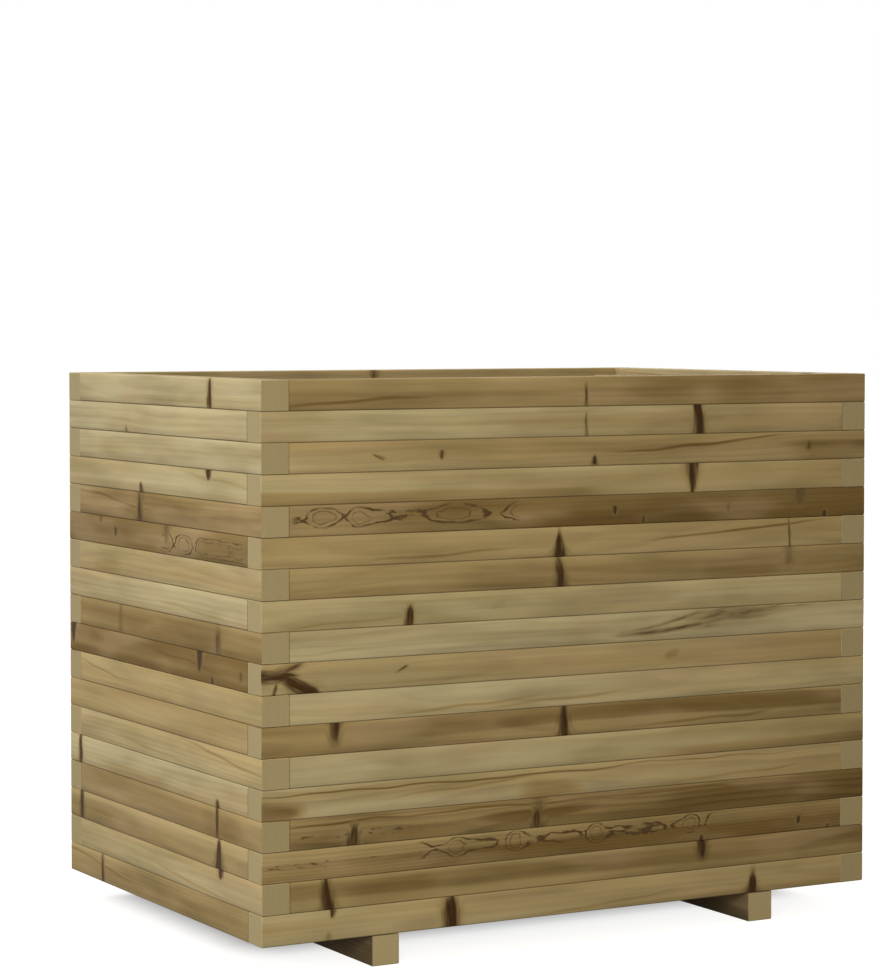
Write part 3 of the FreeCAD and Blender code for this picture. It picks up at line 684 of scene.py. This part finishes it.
LEFT_WALL = [
    dict(brown=0.08, knots=[(145, "side_foot")]),
    dict(brown=0.05, knots=[(405, "side_low", 0.5), (430, "blot", -0.4)]),
    dict(brown=0.10, knots=[(440, "cloud", -0.3)]),
    dict(brown=0.18, knots=[(148, "side_high", 0.9), (356, "side_low", 0.7), (110, "vein", -0.7)]),
    dict(brown=0.84, knots=[(359, "side_top", 0.45), (361, "side_tent", 0.75), (450, "vein", -0.8)]),
    dict(brown=0.97, figure=(45, 296, 16),
         knots=[(277, "side_top", 0.5), (441, "side_spot", 0.8), (490, "side_high", 0.6)]),
    dict(brown=0.40, knots=[(470, "blot", -0.4)]),
    dict(brown=0.10, knots=[(200, "low_vein", -0.8)]),
    dict(brown=0.85, knots=[(424, "side_line", 0.5), (122, "side_foot", 0.75)]),
    dict(brown=1.17,
         knots=[(177, "side_top"), (588, "side_top", 0.9), (139, "side_low", 0.8), (56, "side_spot", 0.6),
                (260, "vein", -1.0)]),
    dict(brown=0.54, knots=[(520, "vein", -0.8)]),
    dict(brown=0.56),
    dict(brown=0.25, knots=[(90, "vein", -1.0), (330, "low_vein", -0.8)]),
    dict(brown=0.12, heart=(2, 16, 0.3), reach=(260, 500, 0.0),
         knots=[(564, "side_bar", 0.9), (125, "side_low", 0.9)]),
    dict(brown=0.69, knots=[(125, "side_line", 0.8), (112, "cloud", -0.5)]),
    dict(brown=0.56, knots=[(560, "side_bar", 0.85), (120, "side_tent")]),
    dict(brown=0.25, knots=[(117, "side_high", 0.9), (210, "low_vein", -0.9)]),
    dict(brown=0.62, knots=[(488, "side_line", 0.8), (520, "vein", -0.6)]),
]


def lath_marks(rng, start, brown, drift=0.0, heart=None, reach=None, figure=None, flecks=None, rings=None,
               knots=()):
    """Marks of one lath, from millimetres along the wall to metres in the bed."""
    placed = []
    for along, kind, *depth in knots:
        up, half_length, half_width, angle, taper = KNOT_KINDS[kind]
        placed.append(((start + along * MM, up * MM, math.radians(angle)),
                       (half_length * MM, half_width * MM, taper), *(depth or [1.0])))
    values = dict(drift=drift, rings=rings, knots=placed)
    if heart:
        values["heart"] = (heart[0] * MM, heart[1] * MM, heart[2])
    if reach:
        values["reach"] = (start + reach[0] * MM, start + reach[1] * MM, reach[2])
    for name, stretch in (("figure", figure), ("flecks", flecks)):
        if stretch:
            first, last, level = stretch
            values[name] = (start + (first + last) / 2 * MM, (last - first) / 2 * MM, level * MM)
    return timber_marks(rng, brown, **values)


# Laths of the back and right wall: the browns, numbers and kinds of knots that chance picks from
UNSEEN_BROWNS = (0.08, 0.12, 0.25, 0.32, 0.50, 0.75, 0.85)
UNSEEN_COUNTS = (0, 1, 1, 2, 3)
UNSEEN_KINDS = ("bar", "wedge", "plug", "upper", "lower", "spot", "pin", "vein", "blot")
STAIN_KINDS = ("vein", "blot")
UNSEEN_PLACE, UNSEEN_DEPTH = (0.05, 0.95), (0.5, 1.0)


def unseen_lath(rng, wall_length):
    """A lath of the back or right wall, marked like the others."""
    kinds = rng.choices(UNSEEN_KINDS, k=rng.choice(UNSEEN_COUNTS))
    brown = rng.choice(UNSEEN_BROWNS)
    knots = []
    for kind in kinds:
        place = rng.uniform(*UNSEEN_PLACE) * wall_length / MM
        depth = rng.uniform(*UNSEEN_DEPTH)
        knots.append((place, kind, -depth if kind in STAIN_KINDS else depth))
    return dict(brown=brown, knots=knots)


# The same pine all round, with stronger painted shade at the seams and feet and a stronger painted highlight
# at the top edges of the end walls
LONG_WALL_PAINTED_SHADING, END_WALL_PAINTED_SHADING = 0.45, 0.70
lath_look = dict(pale=(0.470, 0.405, 0.248), honey=(0.390, 0.292, 0.141), brown=(0.165, 0.103, 0.034),
                 end=END_GRAIN, ring_strength=0.09, saw_marks=0.0, relief=0.25 * MM)
lath_pine = pine_material("lath_pine", painted_shading=LONG_WALL_PAINTED_SHADING, **lath_look)
side_lath_pine_stronger_painted_shading = pine_material("side_lath_pine_stronger_painted_shading", painted_shading=END_WALL_PAINTED_SHADING, **lath_look)
outer_x, outer_y = LENGTH / 2, WIDTH / 2
inner_x, inner_y = outer_x - LATH + BUTT_GAP, outer_y - LATH + BUTT_GAP
for course in range(COURSES):
    number = COURSES - course
    low_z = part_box(f"long_laths_{number:02d}")[0][Z]
    high_z = low_z + LATH
    turn = 1 if course % 2 == 0 else -1
    rng = random.Random(course)
    front = lath_marks(rng, -outer_x, **{"drift": FRONT_PAINTED_SHADE_DRIFT, **FRONT_WALL[course]})
    back = lath_marks(rng, -outer_x, **unseen_lath(rng, LENGTH))
    left = lath_marks(rng, -outer_y, **LEFT_WALL[course])
    right = lath_marks(rng, -outer_y, **unseen_lath(rng, WIDTH))

    bm = bmesh.new()
    tight, free = -turn * inner_x, turn * outer_x
    low_x, high_x = sorted((tight, free))
    add_timber(bm, (low_x, -outer_y, low_z), (high_x, -outer_y + LATH, high_z), X, Z, front, PLANED_ARRIS,
               tight_end=tight)
    add_timber(bm, (-high_x, outer_y - LATH, low_z), (-low_x, outer_y, high_z), X, Z, back, PLANED_ARRIS,
               outer_high=True, tight_end=-tight)
    finish_piece(bm, f"front_back_laths_{number:02d}", lath_pine, "lath_pine", f"long_laths_{number:02d}")

    bm = bmesh.new()
    tight, free = turn * inner_y, -turn * outer_y
    low_y, high_y = sorted((tight, free))
    add_timber(bm, (-outer_x, low_y, low_z), (-outer_x + LATH, high_y, high_z), Y, Z, left, PLANED_ARRIS,
               tight_end=tight)
    add_timber(bm, (outer_x - LATH, -high_y, low_z), (outer_x, -low_y, high_z), Y, Z, right, PLANED_ARRIS,
               outer_high=True, tight_end=-tight)
    finish_piece(bm, f"left_right_laths_{number:02d}", side_lath_pine_stronger_painted_shading, "lath_pine", f"end_laths_{number:02d}")

# Uprights: a sawn post at each end of the long walls and a planed batten beside it on the end walls.
# The laths are nailed to them from inside, which makes each wall a panel.
POST_SEED, BATTEN_SEED, UPRIGHT_BROWN = 740, 760, (0.1, 0.6)
upright_pine = pine_material("upright_pine", pale=(0.46, 0.375, 0.21), honey=(0.37, 0.28, 0.14),
                             brown=(0.17, 0.108, 0.04), end=END_GRAIN, ring_strength=0.18, painted_shading=0.0,
                             saw_marks=0.15, relief=0.4 * MM)
corners = ("front_left", "front_right", "back_right", "back_left")
for upright, first_seed in (("post", POST_SEED), ("batten", BATTEN_SEED)):
    for number, corner in enumerate(corners):
        rng = random.Random(first_seed + number)
        low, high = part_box(f"{upright}_{corner}")
        brown = rng.uniform(*UPRIGHT_BROWN)
        marks = timber_marks(rng, brown, knots=oval_knots(rng, low[Z], high[Z], high[X] - low[X]))
        bm = bmesh.new()
        add_timber(bm, low, high, Z, X, marks, PLANED_ARRIS)
        finish_piece(bm, f"{upright}_timber_{corner}", upright_pine, "upright_pine", f"{upright}_{corner}")

# Brads: flat galvanised wire shot through the uprights into the laths, through the floor boards into the
# skids and up through the skids into the lowest laths.
ZINC_BLOOM, ZINC_SCRATCHES = (400, 400, 400), (2500, 2500, 300)
BLOOM_DARK, BLOOM_ROUGH = 0.7, 0.25
SCRATCH_BUMP, SCRATCH_DEPTH = 0.3, 0.05 * MM


def zinc_material(name, colour, roughness):
    """Zinc on steel: cloudy grey with a dull bloom."""
    material, wiring = new_material(name)
    place = wiring.add("ShaderNodeTexCoord").outputs["Object"]
    bloom = wiring.noise(place, ZINC_BLOOM, 3.0)
    scratch = wiring.noise(place, ZINC_SCRATCHES)
    colour = wiring.blend(bloom, (*(BLOOM_DARK * value for value in colour), 1.0), (*colour, 1.0))
    bump = wiring.add("ShaderNodeBump", {
        "Strength": SCRATCH_BUMP, "Distance": SCRATCH_DEPTH, "Height": scratch})
    shader = wiring.add("ShaderNodeBsdfPrincipled", {
        "Base Color": colour, "Metallic": 1.0, "Normal": bump.outputs["Normal"],
        "Roughness": wiring.math("MULTIPLY_ADD", bloom, BLOOM_ROUGH, roughness)})
    wiring.add("ShaderNodeOutputMaterial", {"Surface": shader.outputs["BSDF"]})
    return material


BRAD_WIDTH, BRAD_DEPTH = 2.2 * MM, 1.8 * MM
BRAD_HEAD_EDGE, BRAD_HEAD_SEGMENTS = 0.35 * MM, 2
BRAD_PROUD, BRAD_SUNK = 0.25 * MM, 0.25 * MM
WALL_BRAD, FLOOR_BRAD, SKID_BRAD = 60 * MM, 45 * MM, 60 * MM


def add_brad(bm, low, high, head_way):
    """Add one length of flat wire between two corners, its head's edges rounded by the hammer."""
    verts = add_block(bm, low, high)
    bm.normal_update()
    faces = {face for vert in verts for face in vert.link_faces}
    head = max(faces, key=lambda face: face.normal.dot(Vector(head_way)))
    round_edges(bm, head.edges, BRAD_HEAD_EDGE, BRAD_HEAD_SEGMENTS)


def add_upright_brad(bm, x, y, bottom, top, head_way):
    """Add one brad that goes straight up or down into a skid."""
    half_width, half_depth = BRAD_WIDTH / 2, BRAD_DEPTH / 2
    add_brad(bm, (x - half_width, y - half_depth, bottom), (x + half_width, y + half_depth, top), head_way)


# Buried in the posts and laths, the long walls' brads keep their plain shape and only take the finish
brad_steel = zinc_material("brad_steel", (0.60, 0.60, 0.58), 0.35)
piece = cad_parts["long_wall_brads"]
piece.data.materials.clear()
piece.data.materials.append(brad_steel)

bm = bmesh.new()
for corner in corners:
    low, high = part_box(f"batten_{corner}")
    side = 1 if low[X] > 0 else -1
    inner = min(abs(low[X]), abs(high[X]))
    ends = sorted((side * (inner - BRAD_PROUD), side * (inner + WALL_BRAD)))
    middle_y = (low[Y] + high[Y]) / 2
    for course in range(COURSES):
        middle_z = low[Z] + (course + 0.5) * LATH
        add_brad(bm, (ends[0], middle_y - BRAD_WIDTH / 2, middle_z - BRAD_DEPTH / 2),
                 (ends[1], middle_y + BRAD_WIDTH / 2, middle_z + BRAD_DEPTH / 2), (-side, 0, 0))
finish_piece(bm, "end_wall_wire_brads", brad_steel, "brad_steel", "end_wall_brads")

bm = bmesh.new()
for skid in ("left", "right"):
    low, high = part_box(f"skid_{skid}")
    middle_x = (low[X] + high[X]) / 2
    for place in floor_places:
        board_low, board_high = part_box(f"floor_board_{place}")
        top = board_high[Z]
        quarter = (board_high[Y] - board_low[Y]) / 4
        for y in (board_low[Y] + quarter, board_high[Y] - quarter):
            add_upright_brad(bm, middle_x, y, top - FLOOR_BRAD, top + BRAD_PROUD, (0, 0, 1))
    for y in (low[Y] + LATH / 2, high[Y] - LATH / 2):
        add_upright_brad(bm, middle_x, y, low[Z] + BRAD_SUNK, low[Z] + SKID_BRAD, (0, 0, -1))
finish_piece(bm, "base_wire_brads", brad_steel, "brad_steel", "base_brads")

# Panel screws: zinc-plated hexagon-head wood screws that clamp each batten to the post beside it.
# The head is chamfered on top, with a round bearing face against the wood.
HEAD_ACROSS_FLATS, HEAD_HEIGHT, HEAD_CHAMFER = 10 * MM, 4 * MM, 0.7 * MM
HEAD_SIDES, CHAMFER_SEGMENTS = 6, 2
HEAD_RADIUS = HEAD_ACROSS_FLATS / 2 / math.cos(math.radians(180 / HEAD_SIDES))
BEARING_HEIGHT, BEARING_RADIUS, BEARING_SIDES = 0.5 * MM, HEAD_ACROSS_FLATS * 0.47, 20
SHANK_RADIUS, SHANK_LENGTH, SHANK_SIDES = 3 * MM, 60 * MM, 16
SCREW_COURSES = (5, 13)
# Each part of a screw: sides, radius, height, and how far its middle lies from the face of the wood
SCREW_PARTS = (
    (HEAD_SIDES, HEAD_RADIUS, HEAD_HEIGHT - BEARING_HEIGHT, -(HEAD_HEIGHT + BEARING_HEIGHT) / 2),
    (BEARING_SIDES, BEARING_RADIUS, BEARING_HEIGHT, -BEARING_HEIGHT / 2),
    (SHANK_SIDES, SHANK_RADIUS, SHANK_LENGTH, SHANK_LENGTH / 2),
)
screw_zinc = zinc_material("screw_zinc", (0.70, 0.70, 0.66), 0.25)
bm = bmesh.new()
for corner in corners:
    low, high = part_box(f"batten_{corner}")
    side = 1 if low[Y] > 0 else -1
    face_y = side * min(abs(low[Y]), abs(high[Y]))
    into_wood = Matrix.Rotation(math.radians(-90 * side), 4, "X")
    for course in SCREW_COURSES:
        centre = Vector(((low[X] + high[X]) / 2, face_y, low[Z] + course * LATH))
        for sides, radius, depth, along in SCREW_PARTS:
            where = Matrix.Translation(centre) @ into_wood @ Matrix.Translation((0, 0, along))
            made = bmesh.ops.create_cone(bm, cap_ends=True, segments=sides, radius1=radius, radius2=radius,
                                         depth=depth, matrix=where)["verts"]
            if sides == HEAD_SIDES:
                bm.normal_update()
                faces = {face for vert in made for face in vert.link_faces}
                top = max(faces, key=lambda face: face.normal.dot(Vector((0, -side, 0))))
                round_edges(bm, top.edges, HEAD_CHAMFER, CHAMFER_SEGMENTS)
finish_piece(bm, "hexagon_screws", screw_zinc, "screw_zinc", "panel_screws")

# Studio floor: pale and matt, glowing almost white to the eye, with a painted shadow under the bed.
# The limits are where the painted shadow begins and is full: from the left and right, then from the front and
# back.
FLOOR_SIZE = 60.0
OPEN_FLOOR, PAINTED_SHADOW_FLOOR = (0.40, 0.39, 0.37, 1.0), (0.12, 0.11, 0.10, 1.0)
OPEN_GLOW, GLOW_LOST_IN_PAINTED_SHADOW = 0.88, 0.58
PAINTED_SHADOW_ALONG = ((-0.44, -0.34), (0.45, 0.40))
PAINTED_SHADOW_ACROSS = ((-0.22, -0.09), (0.30, 0.25))
WHITE = (1.0, 1.0, 1.0, 1.0)


def seen_directly(wiring):
    """1 for what the camera, a reflection or glass sees, 0 for light on the bed."""
    path = wiring.add("ShaderNodeLightPath").outputs
    seen = wiring.math("MAXIMUM", path["Is Camera Ray"], path["Is Glossy Ray"])
    return wiring.math("MAXIMUM", seen, path["Is Transmission Ray"])


bm = bmesh.new()
bmesh.ops.create_grid(bm, x_segments=1, y_segments=1, size=FLOOR_SIZE / 2)
mesh = bpy.data.meshes.new("studio_floor")
bm.to_mesh(mesh)
bm.free()
floor = bpy.data.objects.new("studio_floor", mesh)
bpy.context.scene.collection.objects.link(floor)
material, wiring = new_material("studio_floor")
along, across, _ = wiring.parts(wiring.add("ShaderNodeTexCoord").outputs["Object"])
# Painted shadow under the bed, by place on the floor: it darkens the floor's colour and dims its glow
painted_shadow = 1.0
for place, limits in ((along, PAINTED_SHADOW_ALONG), (across, PAINTED_SHADOW_ACROSS)):
    for lit_at, dark_at in limits:
        painted_shadow = wiring.times(painted_shadow, wiring.ease(place, lit_at, dark_at))
matt = wiring.add("ShaderNodeBsdfDiffuse", {"Color": wiring.blend(painted_shadow, OPEN_FLOOR, PAINTED_SHADOW_FLOOR)})
glow_strength = wiring.math("MULTIPLY_ADD", painted_shadow, -GLOW_LOST_IN_PAINTED_SHADOW, OPEN_GLOW)
glow = wiring.add("ShaderNodeEmission", {
    "Color": WHITE, "Strength": wiring.times(seen_directly(wiring), glow_strength)})
both = wiring.add("ShaderNodeAddShader", {0: matt.outputs[0], 1: glow.outputs[0]})
wiring.add("ShaderNodeOutputMaterial", {"Surface": both.outputs[0]})
mesh.materials.append(material)

# Light: warm light all round behind a white background, and four soft lamps round the bed.
AMBIENT, AMBIENT_STRENGTH = (1.0, 0.89, 0.74, 1.0), 0.47
world = bpy.data.worlds.new("studio")
world.use_nodes = True
world.node_tree.nodes.clear()
wiring = Wiring(world.node_tree)
ambient = wiring.add("ShaderNodeBackground", {"Color": AMBIENT, "Strength": AMBIENT_STRENGTH})
white = wiring.add("ShaderNodeBackground", {"Color": WHITE, "Strength": 1.0})
mixed = wiring.add("ShaderNodeMixShader", {
    0: seen_directly(wiring), 1: ambient.outputs[0], 2: white.outputs[0]})
wiring.add("ShaderNodeOutputWorld", {"Surface": mixed.outputs[0]})
bpy.context.scene.world = world

SOFTBOXES = {
    "left_softbox": dict(place=(-4.0, 0.7, 1.6), aim=(-0.45, 0.0, 0.38), size=1.2, watts=60.0,
                         colour=(0.97, 1.0, 1.02)),
    "front_softbox": dict(place=(-1.6, -2.2, 1.0), aim=(-0.2, -0.3, 0.38), size=1.0, watts=27.0,
                          colour=(1.0, 0.97, 0.80)),
    "top_softbox": dict(place=(0.0, 0.1, 3.2), aim=(0.0, 0.0, 0.0), size=1.6, watts=18.0,
                        colour=(1.0, 1.0, 1.0)),
    "back_softbox": dict(place=(2.8, 2.8, 1.4), aim=(0.0, 0.0, 0.38), size=1.8, watts=35.0,
                         colour=(1.0, 1.0, 1.0)),
}
for name, box in SOFTBOXES.items():
    lamp_data = bpy.data.lights.new(name, "AREA")
    lamp_data.shape = "DISK"
    lamp_data.size = box["size"]
    lamp_data.energy = box["watts"]
    lamp_data.color = box["colour"]
    lamp = bpy.data.objects.new(name, lamp_data)
    lamp.location = box["place"]
    lamp.rotation_euler = (Vector(box["aim"]) - lamp.location).to_track_quat("-Z", "Y").to_euler()
    lamp.visible_camera = False
    bpy.context.scene.collection.objects.link(lamp)

# Camera: a long lens in front of the near corner, a little above the rim and tipped slightly down.
CAMERA_PLACE = (-2.0056, -3.5087, 0.7932)
CAMERA_TURN, CAMERA_DIP = math.radians(29.29), math.radians(2.24)
SENSOR_WIDTH, FOCAL_LENGTH, SHIFT_UP, FARTHEST = 36.0, 110.54, -0.05, 100.0
camera_data = bpy.data.cameras.new("camera")
camera_data.sensor_width = SENSOR_WIDTH
camera_data.lens = FOCAL_LENGTH
camera_data.shift_y = SHIFT_UP
camera_data.clip_end = FARTHEST
camera = bpy.data.objects.new("camera", camera_data)
camera.location = CAMERA_PLACE
gaze = Vector((math.sin(CAMERA_TURN) * math.cos(CAMERA_DIP), math.cos(CAMERA_TURN) * math.cos(CAMERA_DIP),
               -math.sin(CAMERA_DIP)))
camera.rotation_euler = gaze.to_track_quat("-Z", "Y").to_euler()
bpy.context.scene.collection.objects.link(camera)
bpy.context.scene.camera = camera
bpy.context.scene.view_settings.view_transform = "Standard"
